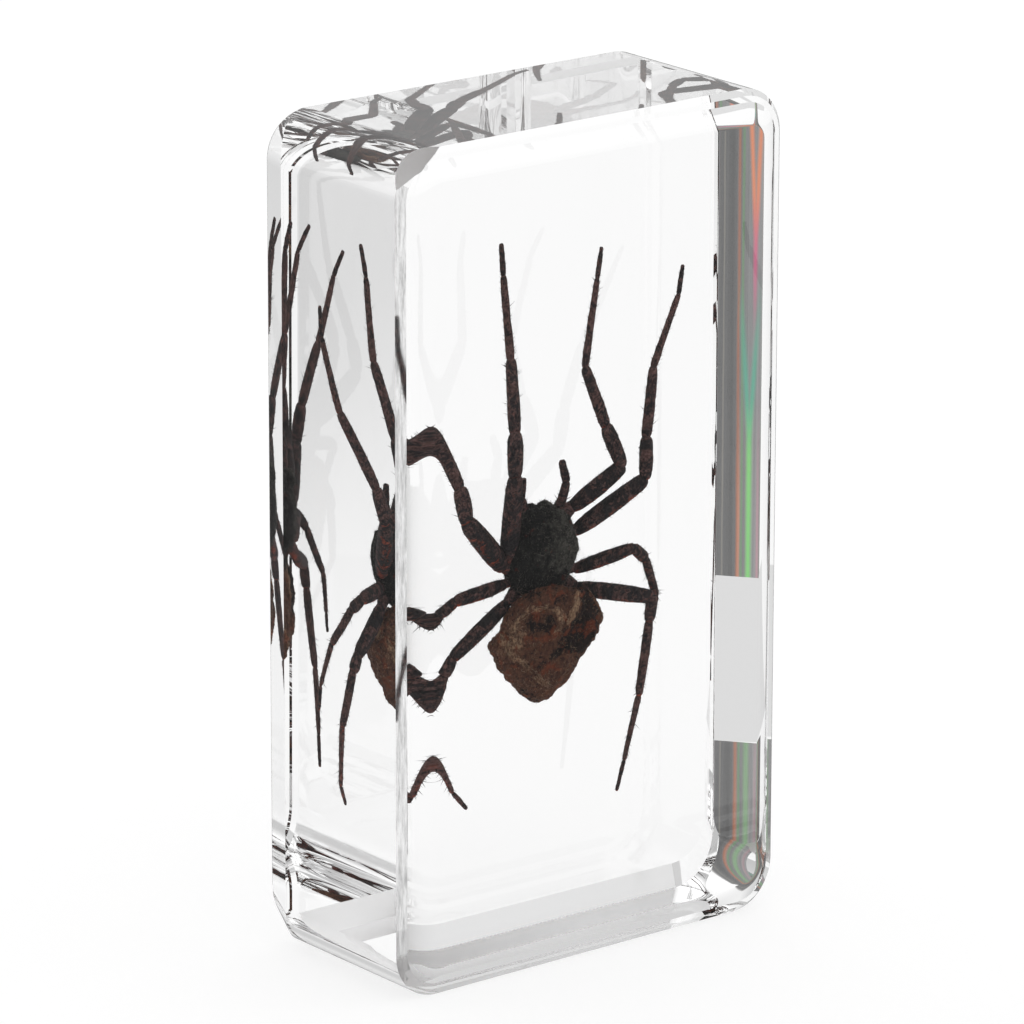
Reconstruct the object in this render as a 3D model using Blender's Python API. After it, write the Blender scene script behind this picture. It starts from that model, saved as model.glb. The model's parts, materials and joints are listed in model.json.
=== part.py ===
"""A dried spider cast in a clear resin block that stands on its narrow end.

Frame: origin at the middle of the base, +Z up, the front face toward -Y.
The block is parted in two behind the spider's middle, so that each half holds an open side of its pocket.
"""

import math

import bmesh
import bpy
from mathutils import Vector

mm = 0.001

# Block
blockWidth = 41.1 * mm
blockDepth = 19.4 * mm
blockHeight = 73.0 * mm
cornerRadius = 4.2 * mm
cornerSteps = 7
partingY = 0.9 * mm
partingGap = 0.3 * mm

# Front rim: inset and depth of two edge facets in mm, from the wall inward
frontFacets = ((0.52, 0.31), (0.53, 0.09))
rimSlant = math.tan(math.radians(0.65))  # the wall ends further forward at the left than at the right

# Front rim, continued: a soft arc that runs out into the flat face, wider along the left edge
arcDepth = 0.77 * mm
arcWidth = 1.85 * mm
arcLeft = 3.55 * mm
arcSteps = 5

# Back rim: inset and depth of two edge facets in mm, then their further inset at the left and at the bottom
backFacets = ((0.20, 0.45, 0.30, 0.80), (0.30, 0.45, 0.0, 0.75))
backLeftRun = 2.1 * mm  # how much further forward the left wall gives way to the first back facet

# Flat sanded facet across the front top-left corner: a point on it and its outward normal
cornerFacetPoint = Vector((-17.85, -8.67, 71.77)) * mm
cornerFacetNormal = Vector((-0.416, -0.65, 0.637))

# Pocket wall kept clear of the spider
pocketClearance = 0.6 * mm

# The spider's places below are in mm from this point in the middle of the base
specimenPlace = Vector((-0.15, 0.2, 0)) * mm

# Spider body: middle and half sizes
bodyTurn = math.radians(-14)
carapaceCentre, carapaceSize = (-1.6, 0.9, 34.9), (3.75, 2.4, 4.1)
headCentre, headSize = (-0.75, 0.7, 36.5), (2.25, 1.8, 1.9)
cheliceraCentres, cheliceraSize = ((-2.0, 2.0, 37.9), (-0.35, 1.9, 38.1)), (0.85, 1.25, 0.9)
sternumCentre, sternumSize = (-2.3, 2.7, 34.9), (1.8, 1.1, 2.5)
waistCentre, waistSize = (-1.0, 1.0, 30.9), (1.1, 1.0, 1.6)
abdomenCentre, abdomenRadius, abdomenThick = (-1.1, 0.8, 26.9), 5.0, 2.4
abdomenLean = 0.3  # the upper part leans over the waist toward the front

# Shrunken abdomen's outline seen from the front: angle from +X in degrees and reach in mm
abdomenOutline = (
    (0, 5.6), (12, 6.2), (41, 6.4), (60, 5.7), (105, 5.6), (150, 5.5), (160, 5.2), (173, 6.0),
    (195, 5.2), (232, 5.0), (255, 5.5), (266, 5.6), (289, 4.7), (328, 4.3),
)

# Legs: hip, femur base, femur end, patella end, tibia end, metatarsus end and tip, in mm
legJoints = {
    "left1": ((-2.8, 1.6, 35.6), (-4.9, 1.4, 34.4), (-5.4, -1.9, 42.4), (-4.8, -0.4, 45.9),
              (-3.8, 3.2, 51.8), (-4.3, 3.9, 59.0), (-4.2, 4.7, 61.6)),
    "left2": ((-2.8, 1.7, 34.6), (-5.4, 1.3, 34.2), (-10.6, -2.2, 39.5), (-10.9, -1.2, 42.3),
              (-12.5, 3.0, 48.1), (-13.5, 4.9, 54.3), (-13.5, 5.1, 56.9)),
    "left3": ((-2.8, 1.8, 33.6), (-5.0, 1.6, 32.6), (-10.5, 1.1, 32.2), (-11.6, 1.9, 31.2),
              (-13.0, 3.9, 27.8), (-13.5, 5.2, 23.8), (-13.5, 5.4, 21.7)),
    "left4": ((-2.6, 1.8, 32.8), (-4.8, 1.6, 30.9), (-10.6, 1.6, 27.2), (-11.3, 1.9, 25.8),
              (-13.0, 2.5, 20.8), (-9.4, 4.7, 14.6), (-7.8, 4.9, 12.8)),
    "right1": ((-0.6, 1.4, 36.9), (1.9, 1.0, 38.2), (6.0, -2.1, 41.4), (4.4, -1.6, 45.1),
               (2.7, -0.2, 50.4), (4.4, 0.8, 57.7), (5.3, 1.9, 60.1)),
    "right2": ((-0.6, 1.6, 35.8), (2.3, 1.2, 36.0), (8.6, -1.9, 39.8), (8.9, -1.3, 43.3),
               (10.3, 0.3, 49.1), (13.2, 0.8, 54.9), (14.0, 1.7, 57.2)),
    "right3": ((-0.8, 1.7, 34.2), (2.3, 1.4, 32.6), (7.6, -1.3, 33.8), (9.1, -0.8, 32.5),
               (10.9, 0.6, 28.6), (10.2, 1.4, 25.2), (10.0, 1.7, 23.6)),
    "right4": ((-0.8, 1.8, 33.2), (2.5, 1.5, 30.9), (9.6, -1.4, 29.1), (9.5, -1.0, 27.0),
               (9.0, 0.5, 20.1), (7.9, 1.6, 14.4), (7.3, 2.1, 11.7)),
}
legRadii = (0.75, 0.82, 0.80, 0.70, 0.52, 0.34, 0.18)
femurSwell = 1.15
pairThickness = {"1": 1.0, "2": 1.0, "3": 0.76, "4": 0.86}

# Palps: root, bend and tip
palpJoints = {
    "left": ((-2.8, 1.6, 38.0), (-3.3, 1.8, 39.7), (-3.0, 1.9, 41.4)),
    "right": ((0.4, 1.0, 38.0), (1.1, 0.6, 40.6), (0.5, 0.4, 42.5)),
}
palpRadii = (0.55, 0.50, 0.32)

tubeSides = 2  # curve bevel resolution: eight sides


def clearScene():
    for old in list(bpy.data.objects):
        bpy.data.objects.remove(old, do_unlink=True)


def newCollection(name, hidden=False):
    made = bpy.data.collections.new(name)
    bpy.context.scene.collection.children.link(made)
    made.hide_render = hidden
    return made


def newMaterial(name, colour, roughness, transmission=0.0):
    made = bpy.data.materials.new(name)
    made.use_nodes = True
    shader = made.node_tree.nodes["Principled BSDF"]
    shader.inputs["Base Color"].default_value = (*colour, 1)
    shader.inputs["Roughness"].default_value = roughness
    shader.inputs["Metallic"].default_value = 0
    shader.inputs["Transmission Weight"].default_value = transmission
    return made


def newObject(name, mesh, collection, material=None):
    made = bpy.data.objects.new(name, mesh)
    collection.objects.link(made)
    if material:
        mesh.materials.append(material)
    return made


def hide(obj):
    obj.hide_render = True
    obj.display_type = "WIRE"


def rimSteps(side):
    """Inset, rise, and further inset at the left and bottom of each ring, wall to flat face."""
    if side > 0:
        return [tuple(value * mm for value in facet) for facet in backFacets]
    steps = [(inset * mm, rise * mm, 0, 0) for inset, rise in frontFacets]
    for index in range(arcSteps):
        before, after = 1 - index / arcSteps, 1 - (index + 1) / arcSteps
        inset = arcWidth * (before**2 - after**2)
        rise = arcDepth * (before**3.3 - after**3.3)
        steps.append((inset, rise, arcLeft * (before - after) - inset, 0))
    return steps


def faceToward(work, direction):
    return max(work.faces, key=lambda face: face.calc_center_median().dot(direction))


def halfBlock(name, side, collection, material):
    """One half of the block: side -1 is the front half, +1 the back half."""
    steps = rimSteps(side)
    outerY = side * (blockDepth / 2 - sum(rise for inset, rise, left, bottom in steps))
    innerY = partingY + side * partingGap / 2
    work = bmesh.new()
    bmesh.ops.create_cube(work, size=1)
    bmesh.ops.scale(work, vec=(blockWidth, abs(outerY - innerY), blockHeight), verts=work.verts)
    bmesh.ops.translate(work, vec=(0, (outerY + innerY) / 2, blockHeight / 2), verts=work.verts)
    upright = [edge for edge in work.edges if abs(edge.verts[0].co.y - edge.verts[1].co.y) > mm]
    bmesh.ops.bevel(
        work, geom=upright, offset=cornerRadius, segments=cornerSteps, affect="EDGES", profile=0.5,
    )
    outward = Vector((0, side, 0))
    right, top = blockWidth / 2, blockHeight
    for inset, rise, left, bottom in steps:
        face = faceToward(work, outward)
        bmesh.ops.inset_region(work, faces=[face], thickness=inset, depth=rise, use_even_offset=True)
        right, top = right - inset, top - inset
        for point in faceToward(work, outward).verts:
            point.co.x = right + (point.co.x - right) * (1 - left / (2 * right))
            point.co.z = top + (point.co.z - top) * (1 - bottom / (2 * top - blockHeight))
    wallEnd = [point for point in work.verts if abs(point.co.y - outerY) < 0.01 * mm]
    for point in wallEnd:
        nearLeft = max(0, (cornerRadius - blockWidth / 2 - point.co.x) / cornerRadius)
        point.co.y += point.co.x * rimSlant if side < 0 else -backLeftRun * nearLeft**2
    if side < 0:
        cut = bmesh.ops.bisect_plane(
            work, geom=work.verts[:] + work.edges[:] + work.faces[:], dist=0.001 * mm,
            plane_co=cornerFacetPoint, plane_no=cornerFacetNormal, clear_outer=True,
        )
        rim = [item for item in cut["geom_cut"] if isinstance(item, bmesh.types.BMEdge)]
        bmesh.ops.edgeloop_fill(work, edges=rim)
    bmesh.ops.recalc_face_normals(work, faces=work.faces)
    mesh = bpy.data.meshes.new(name)
    work.to_mesh(mesh)
    work.free()
    return newObject(name, mesh, collection, material)


def ellipsoid(name, centre, size, collection, grow=0.0, segments=16):
    """A rounded body part, its poles along Y."""
    work = bmesh.new()
    bmesh.ops.create_uvsphere(work, u_segments=segments, v_segments=9, radius=1)
    for point in work.verts:
        along, across, up = point.co.x, point.co.z, point.co.y
        point.co = Vector((
            along * (size[0] * mm + grow), across * (size[1] * mm + grow), up * (size[2] * mm + grow)
        ))
    bmesh.ops.recalc_face_normals(work, faces=work.faces)
    mesh = bpy.data.meshes.new(name)
    work.to_mesh(mesh)
    work.free()
    made = newObject(name, mesh, collection)
    made.location = Vector(centre) * mm + specimenPlace
    made.rotation_euler.z = bodyTurn
    return made


def outlineReach(angle):
    """Reach of the abdomen's outline at an angle, eased between its corners."""
    corners = [(math.radians(turn), reach) for turn, reach in abdomenOutline]
    corners.append((corners[0][0] + math.tau, corners[0][1]))
    angle = (angle - corners[0][0]) % math.tau + corners[0][0]
    for (before, low), (after, high) in zip(corners, corners[1:]):
        if angle <= after:
            share = (angle - before) / (after - before)
            return low + (high - low) * (1 - math.cos(math.pi * share)) / 2
    return corners[-1][1]


def abdomen(name, collection, grow=0.0):
    size = (abdomenRadius, abdomenThick, abdomenRadius)
    made = ellipsoid(name, abdomenCentre, size, collection, grow, segments=24)
    for point in made.data.vertices:
        reach = outlineReach(math.atan2(point.co.z, point.co.x)) * mm + grow
        point.co.x *= reach / (abdomenRadius * mm + grow)
        point.co.z *= reach / (abdomenRadius * mm + grow)
        point.co.y -= max(0, point.co.z) * abdomenLean
    return made


def tube(name, joints, radii, collection, grow=0.0):
    """A tapered limb along its joints, as a closed mesh."""
    curve = bpy.data.curves.new(name, "CURVE")
    curve.dimensions = "3D"
    curve.bevel_depth = mm
    curve.bevel_resolution = tubeSides
    curve.use_fill_caps = True
    line = curve.splines.new("POLY")
    points = [Vector(joint) * mm + specimenPlace for joint in joints]
    if grow:
        points.append(points[-1] + (points[-1] - points[-2]).normalized() * grow)
        radii = (*radii, radii[-1])
    line.points.add(len(points) - 1)
    for spot, place, radius in zip(line.points, points, radii):
        spot.co = (*place, 1)
        spot.radius = radius + grow / mm
    guide = bpy.data.objects.new(name, curve)
    collection.objects.link(guide)
    bpy.context.view_layer.update()
    graph = bpy.context.evaluated_depsgraph_get()
    mesh = bpy.data.meshes.new_from_object(guide.evaluated_get(graph))
    work = bmesh.new()
    work.from_mesh(mesh)
    bmesh.ops.remove_doubles(work, verts=work.verts, dist=0.001 * mm)
    bmesh.ops.recalc_face_normals(work, faces=work.faces)
    work.to_mesh(mesh)
    work.free()
    placed = guide.matrix_world.copy()
    bpy.data.objects.remove(guide, do_unlink=True)
    made = newObject(name, mesh, collection)
    made.matrix_world = placed
    return made


def swollenFemur(joints, radii):
    """The joints with a thicker point added in the middle of the femur."""
    middle = tuple((Vector(joints[1]) + Vector(joints[2])) / 2)
    widest = max(radii[1], radii[2]) * femurSwell
    return (*joints[:2], middle, *joints[2:]), (*radii[:2], widest, *radii[2:])


def limbs(collection, grow=0.0):
    """The palps and the legs."""
    made = []
    for side, joints in palpJoints.items():
        made.append(tube(f"palp_{side}", joints, palpRadii, collection, grow))
    for name, joints in legJoints.items():
        radii = [radius * pairThickness[name[-1]] for radius in legRadii]
        path, thickness = swollenFemur(joints, radii)
        made.append(tube(f"leg_{name}", path, thickness, collection, grow))
    return made


def bodyParts(collection, grow=0.0):
    """Everything that the carapace carries, apart from the limbs."""
    made = [
        ellipsoid("head", headCentre, headSize, collection, grow),
        ellipsoid("sternum", sternumCentre, sternumSize, collection, grow),
        ellipsoid("waist", waistCentre, waistSize, collection, grow),
        abdomen("abdomen", collection, grow),
    ]
    for side, centre in zip(("left", "right"), cheliceraCentres):
        made.append(ellipsoid(f"chelicera_{side}", centre, cheliceraSize, collection, grow))
    return made


def boolean(obj, other, operation):
    change = obj.modifiers.new(f"{operation.lower()} {other.name}", "BOOLEAN")
    change.object = other
    change.operation = operation
    change.solver = "EXACT"
    change.use_self = True


def wholeSpider(name, collection, helpers, grow=0.0):
    """The specimen as one closed solid, or with grow its pocket."""
    made = ellipsoid(name, carapaceCentre, carapaceSize, collection, grow)
    for other in bodyParts(helpers, grow) + limbs(helpers, grow):
        hide(other)
        boolean(made, other, "UNION")
    return made


def main():
    clearScene()
    parts = newCollection("resin spider block")
    helpers = newCollection("cutters", hidden=True)
    resin = newMaterial("clear resin", (0.95, 0.96, 0.95), 0.03, transmission=1)
    shell = newMaterial("dried spider", (0.09, 0.055, 0.04), 0.6)
    front = halfBlock("resin_front_half", -1, parts, resin)
    back = halfBlock("resin_back_half", 1, parts, resin)
    spider = wholeSpider("spider", parts, helpers)
    spider.data.materials.append(shell)
    spider.data.shade_smooth()
    pocket = wholeSpider("spider_pocket", helpers, helpers, grow=pocketClearance)
    hide(pocket)
    boolean(front, pocket, "DIFFERENCE")
    boolean(back, pocket, "DIFFERENCE")


main()
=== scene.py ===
import json
import math
import random

import bmesh
import bpy
import numpy
from mathutils import Matrix, Quaternion, Vector

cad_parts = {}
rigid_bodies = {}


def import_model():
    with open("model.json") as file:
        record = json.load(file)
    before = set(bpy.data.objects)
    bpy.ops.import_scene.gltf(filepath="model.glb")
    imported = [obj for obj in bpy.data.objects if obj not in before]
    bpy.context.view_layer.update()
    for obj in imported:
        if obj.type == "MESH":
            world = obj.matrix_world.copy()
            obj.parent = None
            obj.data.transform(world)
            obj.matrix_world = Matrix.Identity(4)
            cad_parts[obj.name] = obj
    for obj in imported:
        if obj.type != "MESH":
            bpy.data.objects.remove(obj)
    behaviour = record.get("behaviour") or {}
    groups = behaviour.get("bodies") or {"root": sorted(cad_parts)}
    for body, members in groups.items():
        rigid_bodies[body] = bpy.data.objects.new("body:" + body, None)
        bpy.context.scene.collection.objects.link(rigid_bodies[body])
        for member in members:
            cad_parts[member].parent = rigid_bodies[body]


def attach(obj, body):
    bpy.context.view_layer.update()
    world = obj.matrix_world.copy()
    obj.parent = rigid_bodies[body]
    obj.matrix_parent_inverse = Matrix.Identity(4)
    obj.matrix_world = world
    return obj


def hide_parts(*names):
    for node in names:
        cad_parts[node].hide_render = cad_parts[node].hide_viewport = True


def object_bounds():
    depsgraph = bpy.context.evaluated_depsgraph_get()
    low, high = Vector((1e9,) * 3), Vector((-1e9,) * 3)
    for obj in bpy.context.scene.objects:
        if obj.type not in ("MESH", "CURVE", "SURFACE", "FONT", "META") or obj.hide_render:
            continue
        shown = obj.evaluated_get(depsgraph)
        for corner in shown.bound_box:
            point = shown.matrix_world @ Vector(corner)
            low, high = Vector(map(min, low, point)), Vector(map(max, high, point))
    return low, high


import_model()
cadBox = [list(corner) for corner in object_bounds()]
low, high = (Vector(corner) for corner in cadBox)
mm = 0.001
shift = Vector((-0.15, 0.2, 0)) * mm
random.seed(7)


# shader expressions

class Value:
    def __init__(self, tree, socket):
        self.tree = tree
        self.socket = socket

    def math(self, operation, *others):
        inputs = {0: self, **dict(enumerate(others, 1))}
        return self.tree.node("ShaderNodeMath", {"operation": operation}, inputs).out(0)

    def __add__(self, other):
        return self.math("ADD", other)

    def __radd__(self, other):
        return self.math("ADD", other)

    def __sub__(self, other):
        return self.math("SUBTRACT", other)

    def __rsub__(self, other):
        return self.tree.value(other).math("SUBTRACT", self)

    def __mul__(self, other):
        return self.math("MULTIPLY", other)

    def __rmul__(self, other):
        return self.math("MULTIPLY", other)

    def between(self, start, end):  # 0 below start, 1 above end, eased
        made = self.tree.node("ShaderNodeMapRange", {"interpolation_type": "SMOOTHSTEP"},
                              {"Value": self, "From Min": start, "From Max": end})
        return made.out("Result")


class Made:
    def __init__(self, tree, node):
        self.tree = tree
        self.real = node

    def out(self, name):
        return Value(self.tree, self.real.outputs[name])


class Shader:
    def __init__(self, holder):
        holder.use_nodes = True
        self.nodes = holder.node_tree.nodes
        self.links = holder.node_tree.links

    def node(self, kind, settings=None, inputs=None):
        made = self.nodes.new(kind)
        for name, setting in (settings or {}).items():
            setattr(made, name, setting)
        for name, source in (inputs or {}).items():
            self.feed(made.inputs[name], source)
        return Made(self, made)

    def feed(self, socket, source):
        if isinstance(source, Value):
            self.links.new(source.socket, socket)
        else:
            socket.default_value = source

    def value(self, number):
        made = self.nodes.new("ShaderNodeValue")
        made.outputs[0].default_value = number
        return Value(self, made.outputs[0])

    def mix(self, share, first, second):  # colours
        made = self.nodes.new("ShaderNodeMix")
        made.data_type = "RGBA"
        self.feed(made.inputs[0], share)
        self.feed(made.inputs[6], first)
        self.feed(made.inputs[7], second)
        return Value(self, made.outputs[2])

    def noise(self, place, scale, detail=4, roughness=0.55, distortion=0.0):
        made = self.node("ShaderNodeTexNoise", None, {
            "Vector": place, "Scale": scale, "Detail": detail, "Roughness": roughness, "Distortion": distortion,
        })
        return made.out("Fac").between(0.28, 0.72)

    def stretched(self, place, factors):
        return self.node("ShaderNodeVectorMath", {"operation": "MULTIPLY"}, {0: place, 1: factors}).out(0)

    def axes(self, place):
        split = self.node("ShaderNodeSeparateXYZ", None, {0: place})
        return split.out("X"), split.out("Y"), split.out("Z")


def grey(level):
    return (level, level, level, 1)


def newMaterial(name):
    made = bpy.data.materials.new(name)
    shader = Shader(made)
    principled = made.node_tree.nodes["Principled BSDF"]
    place = shader.node("ShaderNodeTexCoord").out("Object")
    return made, shader, principled, place


# mesh helpers

def deselectAll():
    for thing in bpy.context.view_layer.objects:
        thing.select_set(False)


def active(name=None):
    made = bpy.context.active_object
    if name:
        made.name = name
        made.data.name = name
    return made


def applyPlace(thing):
    deselectAll()
    thing.select_set(True)
    bpy.context.view_layer.objects.active = thing
    bpy.ops.object.transform_apply(location=True, rotation=True, scale=True)


def editMesh(thing, mode="FACE"):
    deselectAll()
    thing.select_set(True)
    bpy.context.view_layer.objects.active = thing
    bpy.ops.object.mode_set(mode="EDIT")
    bpy.ops.mesh.select_mode(type=mode)
    bpy.ops.mesh.select_all(action="DESELECT")


def endEdit():
    bpy.ops.object.mode_set(mode="OBJECT")


def pick(thing, kind, test):  # selects faces, edges or verts in edit mode by a test
    work = bmesh.from_edit_mesh(thing.data)
    work.select_mode = {{"faces": "FACE", "edges": "EDGE", "verts": "VERT"}[kind]}
    for part in getattr(work, kind):
        part.select_set(bool(test(part)))
    work.select_flush_mode()
    bmesh.update_edit_mesh(thing.data)


def applyModifiers(thing):
    deselectAll()
    thing.select_set(True)
    bpy.context.view_layer.objects.active = thing
    for change in list(thing.modifiers):
        bpy.ops.object.modifier_apply(modifier=change.name)


# camera at the photograph's angle

camera = {
    "azimuth": -38.295,  # degrees round from the front, toward the left
    "elevation": 16.788,
    "roll": 0.16,
    "distance": 635.963 * mm,
    "target": Vector((0, 0.2, 36.5)) * mm,
    "sensor": 36,  # mm
    "focal": 7516.85 / 1024 * 36,  # from pixels of a 1024 pixel picture to mm on the sensor
    "shiftX": -12.347 / 1024,
    "shiftY": 5.924 / 1024,
    "farthest": 50,  # m
}


def setCamera():
    turn, lift = math.radians(camera["azimuth"]), math.radians(camera["elevation"])
    back = Vector((math.sin(turn) * math.cos(lift), -math.cos(turn) * math.cos(lift), math.sin(lift)))
    right = (-back).cross(Vector((0, 0, 1))).normalized()
    up = right.cross(-back)
    tilt = Quaternion(back, math.radians(camera["roll"]))
    pose = Matrix((tilt @ right, tilt @ up, back)).transposed().to_4x4()
    pose.translation = camera["target"] + back * camera["distance"]
    lens = bpy.data.cameras.new("camera")
    lens.sensor_width = camera["sensor"]
    lens.lens = camera["focal"]
    lens.shift_x = camera["shiftX"]
    lens.shift_y = camera["shiftY"]
    lens.clip_end = camera["farthest"]
    made = bpy.data.objects.new("camera", lens)
    made.matrix_world = pose
    bpy.context.scene.collection.objects.link(made)
    bpy.context.scene.camera = made


# clear cast block

block = {
    "cornerRadius": 4.2 * mm,
    "cornerSteps": 22,
    "frontFacets": ((0.52, 0.31), (0.53, 0.09)),  # inset and depth of each facet in mm, wall to face
    "rimTilt": math.radians(0.65),  # the front rim is shallower at the left than at the right
    "arcDepth": 0.77 * mm,  # soft arc from the facets to the flat face
    "arcWidth": 1.85 * mm,
    "arcLeft": 3.55 * mm,  # its width along the more worn left edge
    "arcFade": (2, 3.3),  # powers by which its width and its depth run out
    "arcSteps": 22,
    "backFacets": ((0.20, 0.45, 0.30, 1.04), (0.30, 0.45, 0.0, 0.51)),  # then more inset at the left and the foot
    "backLeftRun": 2.1 * mm,  # how much further forward the left wall gives way to the first back facet
    "backFootRun": 0.24 * mm,  # the same at the foot
    "cutPoint": Vector((-17.85, -8.67, 71.77)) * mm,  # sanded facet across the front top-left corner
    "cutNormal": Vector((-0.416, -0.65, 0.637)),
    "cutTolerance": 1e-7,
    "wornAndShadedWidth": 1.1 * mm,  # of the scuffed front left edge, whose resin is also painted darker as shade
    "hazeHeight": 2.2 * mm,  # of the hazy back rim along the foot
    "smoothAngle": math.radians(8),
    "flatArea": 60 * mm * mm,  # faces above this are shaded flat
    "tolerance": 0.01 * mm,  # for picking by place
    "ior": 1.6,
    "finishes": (("clear resin", 0.0, 1.0), ("sanded resin", 0.38, 1.0), ("worn resin", 0.12, 0.22)),
}
sanded, wornAndShaded = 1, 2  # places in the finishes, which give a name, a roughness and the darkest tint; the worn finish's dark tint is painted shade


def rimSteps(side):  # inset, depth, and more inset at the left and the foot, wall to face
    if side > 0:
        return [tuple(value * mm for value in facet) for facet in block["backFacets"]]
    steps = [(inset * mm, rise * mm, 0, 0) for inset, rise in block["frontFacets"]]
    shares = [index / block["arcSteps"] for index in range(block["arcSteps"] + 1)]
    wide, deep = block["arcFade"]
    for before, after in zip(shares, shares[1:]):
        inset = block["arcWidth"] * ((1 - before)**wide - (1 - after)**wide)
        rise = block["arcDepth"] * ((1 - before)**deep - (1 - after)**deep)
        steps.append((inset, rise, block["arcLeft"] * (after - before) - inset, 0))
    return steps


def buildBlock():
    size, near, corner = high - low, block["tolerance"], block["cornerRadius"]
    front, back = (sum(step[1] for step in rimSteps(side)) for side in (-1, 1))
    middle = (low + high) / 2 + Vector((0, (front - back) / 2, 0))
    deselectAll()
    bpy.ops.mesh.primitive_cube_add(size=1, location=middle, scale=(size.x, size.y - front - back, size.z))
    piece = active("resin_block")
    applyPlace(piece)
    editMesh(piece, "EDGE")
    pick(piece, "edges", lambda edge: abs(edge.verts[0].co.y - edge.verts[1].co.y) > mm)
    bpy.ops.mesh.bevel(offset=corner, segments=block["cornerSteps"], affect="EDGES")
    bpy.ops.mesh.select_mode(type="FACE")
    for side in (-1, 1):
        pick(piece, "faces", lambda face: face.normal.y * side > 0.99)
        right, top = high.x, high.z
        for inset, rise, left, foot in rimSteps(side):
            bpy.ops.mesh.inset(thickness=inset, depth=rise, use_even_offset=True)
            right, top = right - inset, top - inset
            shrink = (1 - left / (2 * right), 1, 1 - foot / (2 * top - high.z))
            bpy.ops.transform.resize(value=shrink, center_override=(right, 0, top))
    frontRim, backRim = low.y + front, high.y - back
    pick(piece, "verts", lambda vert: abs(vert.co.y - frontRim) < near)
    bpy.ops.transform.rotate(value=-block["rimTilt"], orient_axis="Z", center_override=(0, frontRim, 0))
    work = bmesh.from_edit_mesh(piece.data)
    for vert in work.verts:
        if abs(vert.co.y - backRim) < near:
            nearLeft = max(0, (corner + low.x - vert.co.x) / corner)
            nearFoot = max(0, (corner + low.z - vert.co.z) / corner)
            vert.co.y -= block["backLeftRun"] * nearLeft**2 + block["backFootRun"] * nearFoot**2
    bmesh.update_edit_mesh(piece.data)
    bpy.ops.mesh.select_all(action="SELECT")
    bpy.ops.mesh.bisect(
        plane_co=block["cutPoint"], plane_no=block["cutNormal"], use_fill=True, clear_outer=True,
        threshold=block["cutTolerance"])
    arcStart = low.y + block["arcDepth"]
    creases = [arcStart, arcStart + block["frontFacets"][1][1] * mm]
    bpy.ops.mesh.select_mode(type="EDGE")
    pick(piece, "edges", lambda edge: any(
        all(abs(vert.co.y - crease) < near for vert in edge.verts) for crease in creases))
    bpy.ops.mesh.mark_sharp()
    endEdit()
    bpy.ops.object.shade_smooth_by_angle(angle=block["smoothAngle"])
    cutNormal = block["cutNormal"].normalized()
    for face in piece.data.polygons:
        spot, normal = face.center, face.normal
        if face.area > block["flatArea"]:
            face.use_smooth = False
        if normal.dot(cutNormal) > 0.999:
            face.use_smooth = False
            face.material_index = sanded
        # the scuffed front left edge takes the worn finish: real roughness, with a painted shade tint
        if spot.x < low.x + block["wornAndShadedWidth"] and -0.99 < normal.y < -0.4:
            face.material_index = wornAndShaded
        if spot.z < low.z + block["hazeHeight"] and 0.2 < normal.y < 0.97 and abs(spot.x) < high.x - corner:
            face.material_index = sanded
    return piece


def clearResin(name, roughness, darkestTint):
    made, shader, principled, place = newMaterial(name)
    if darkestTint < 1:
        # for the worn finish the base colour darkens the clear resin in scuff streaks: painted shade along the
        # edge, laid in the pattern of the wear
        scuffsAndShade = shader.stretched(place, (1, 1, 0.12))
        scuffsAndShade = shader.noise(scuffsAndShade, scale=2600, detail=5, roughness=0.7)
        shader.feed(principled.inputs["Base Color"], shader.mix(scuffsAndShade, grey(darkestTint), grey(0.9)))
    else:
        principled.inputs["Base Color"].default_value = grey(1)
    principled.inputs["Transmission Weight"].default_value = 1
    principled.inputs["IOR"].default_value = block["ior"]
    principled.inputs["Roughness"].default_value = roughness
    return made


# spider: places in mm from the middle of the block's base

spiderTurn = math.radians(-14)

body = {
    "forms": {  # middle and half sizes
        "carapace": ((-1.6, 0.9, 34.9), (3.75, 2.4, 4.1)),
        "head": ((-0.8, 0.7, 36.7), (2.3, 1.8, 1.9)),
        "shoulder": ((0.45, 1.2, 37.5), (1.0, 1.0, 1.2)),
        "cheliceraLeft": ((-2.35, 1.8, 38.45), (0.66, 1.0, 0.72)),
        "cheliceraRight": ((-0.75, 1.8, 38.25), (0.86, 1.2, 0.92)),
        "palpRoot": ((0.75, 1.6, 38.6), (0.46, 0.6, 0.45)),
        "sternum": ((-2.3, 2.7, 34.9), (1.8, 1.1, 2.5)),
        "waist": ((-1.0, 1.0, 30.9), (1.1, 1.0, 1.6)),
    },
    "remesh": 0.09 * mm,
    "softening": 5,
    "lumps": (1.5 * mm, 0.55 * mm),  # size and height
    "grain": (0.35 * mm, 0.20 * mm),
}

abdomenForm = {
    "centre": Vector((-1.2, 0.5, 26.9)) * mm + shift,
    "outline": (  # degrees round from the right, reach
        (0, 5.4), (12, 6.0), (26, 6.1), (41, 6.2), (50, 5.8), (60, 5.5), (74, 5.5), (90, 5.5), (105, 5.4),
        (120, 5.4), (135, 5.4), (150, 5.3), (160, 5.0), (168, 5.6), (175, 5.9), (182, 5.5), (195, 5.0),
        (205, 5.0), (218, 4.8), (232, 4.8), (250, 5.3), (261, 5.5), (268, 5.4), (289, 4.5), (310, 4.15),
        (328, 4.1), (346, 4.4),
    ),
    "rings": ((0.93, 0.42), (0.78, 0.72), (0.55, 0.91), (0.28, 0.99)),  # shares of the reach and half thickness
    "halfThickness": 2.3 * mm,
    "lean": 0.3,  # how far the upper part leans toward the front
    "levels": 4,
    "ground": (0.45, 0.15),  # tint between the strokes, and its weight
    "wander": 0.11,  # how far the strokes' edges waver
    "strokeRise": 0.9 * mm,  # for a stroke of height 1
    "folds": (1.3 * mm, 0.65 * mm),
    "wrinkles": (0.42 * mm, 0.30 * mm),
}

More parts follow.
